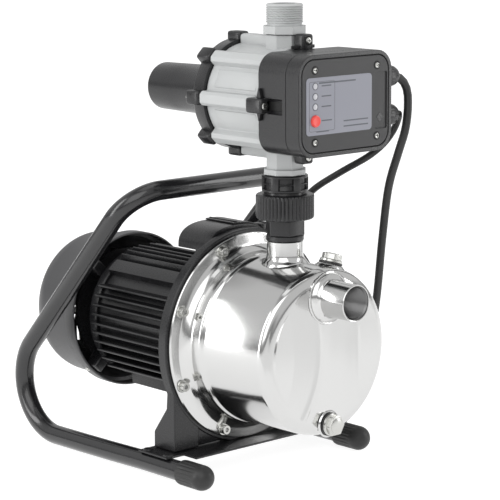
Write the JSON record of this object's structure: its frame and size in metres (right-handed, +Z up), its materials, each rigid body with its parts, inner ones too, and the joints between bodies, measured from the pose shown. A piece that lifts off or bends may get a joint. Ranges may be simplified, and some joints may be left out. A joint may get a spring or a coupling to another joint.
{
  "type": "shallow well jet pump",
  "caption": "Self-priming stainless jet pump with finned electric motor on a tube carry frame, with an automatic flow and pressure controller on its outlet.",
  "frame": {"origin": "on the floor, at the bottom centre of the pump's bounding box without the mains lead, its coil and its plug", "axes": "+Z up; the shaft lies along Y, with the suction socket towards -Y and the fan cover towards +Y; +X is the side that the leads leave from"},
  "size_m": [0.3679, 0.447, 0.483],
  "materials": {
    "stainless": "mirror-polished stainless sheet",
    "zinc": "bright zinc-plated or nickel-plated screws and plugs",
    "steel": "machined steel",
    "iron_black": "satin black paint on cast metal",
    "gloss_black": "glossy black powder coat",
    "cover_grey": "satin dark grey",
    "plastic_black": "satin black moulded plastic",
    "plastic_grey": "light grey moulded plastic",
    "plastic_white": "off-white engineering plastic",
    "rubber": "black rubber",
    "brass": "plain brass",
    "copper": "varnished copper wire",
    "label": "blue-grey printed film",
    "button_red": "glossy red plastic",
    "board_green": "green solder mask"
  },
  "bodies": {
    "pump": {"pump_casing": "stainless", "priming_plug_washer": "rubber", "drain_plug_washer": "rubber", "casing_seal": "rubber", "seal_plate": "stainless", "seal_seat": "plastic_white", "diffuser": "plastic_white", "ejector": "plastic_white", "motor_bracket": "iron_black", "motor_housing": "iron_black", "stator_core": "steel", "stator_winding": "copper", "front_bearing": "steel", "rear_bearing": "steel", "rear_end_shield": "iron_black", "fan_cover": "cover_grey", "terminal_box": "plastic_black", "terminal_box_lid": "plastic_black", "run_capacitor": "plastic_white", "terminal_gland": "plastic_black", "carry_frame": "gloss_black", "foot_cap_left": "rubber", "foot_cap_right": "rubber", "base_plate": "iron_black", "union_adapter": "plastic_black", "union_tailpiece": "plastic_black", "controller_body": "plastic_grey", "diaphragm_cover": "plastic_black", "diaphragm": "rubber", "pressure_spring": "steel", "control_box_base": "plastic_black", "control_box_lid": "plastic_black", "suction_socket": "stainless", "circuit_board": "board_green", "mains_gland": "plastic_black", "motor_gland": "plastic_black", "motor_lead": "rubber", "mains_lead": "rubber", "mains_coil": "rubber", "mains_plug": "rubber", "flange_bolt_1": "zinc", "flange_bolt_2": "zinc", "flange_bolt_3": "zinc", "flange_bolt_4": "zinc", "flange_bolt_5": "zinc", "flange_bolt_6": "zinc", "flange_bolt_7": "zinc", "flange_bolt_8": "zinc"},
    "rotor_set": {"rotor": "steel", "motor_shaft": "steel", "impeller": "plastic_white", "impeller_nut": "brass", "rotating_seal": "steel", "cooling_fan": "plastic_black"},
    "union_nut": {"union_nut": "plastic_black"},
    "flow_valve": {"flow_valve": "plastic_white"},
    "reset_button": {"reset_button": "button_red"},
    "pressure_plunger": {"pressure_plunger": "plastic_white"},
    "priming_plug": {"priming_plug": "zinc"},
    "drain_plug": {"drain_plug": "zinc"}
  },
  "joints": [
    {"name": "shaft_spin", "type": "hinge", "parent": "pump", "child": "rotor_set", "pos_m": [0, 0, 0.135], "axis": [0, 1, 0], "continuous": true},
    {"name": "union_nut_turn", "type": "hinge", "parent": "pump", "child": "union_nut", "pos_m": [0, -0.121, 0.2786], "axis": [0, 0, 1], "continuous": true},
    {"name": "reset_button_press", "type": "slide", "parent": "pump", "child": "reset_button", "axis": [0, 1, 0], "range_m": [0, 0.002], "stiffness_N_per_m": 500},
    {"name": "flow_valve_lift", "type": "slide", "parent": "pump", "child": "flow_valve", "axis": [0, 0, 1], "range_m": [0, 0.01], "stiffness_N_per_m": 60},
    {"name": "plunger_travel", "type": "slide", "parent": "pump", "child": "pressure_plunger", "axis": [0, 1, 0], "range_m": [0, 0.006], "stiffness_N_per_m": 2000, "deforming": ["pressure_spring"]},
    {"name": "priming_plug_unscrew", "type": "slide", "parent": "pump", "child": "priming_plug", "axis": [0.2924, 0, 0.9563], "range_m": [0, 0.012]},
    {"name": "drain_plug_unscrew", "type": "slide", "parent": "pump", "child": "drain_plug", "axis": [0, -1, 0], "range_m": [0, 0.012]}
  ]
}
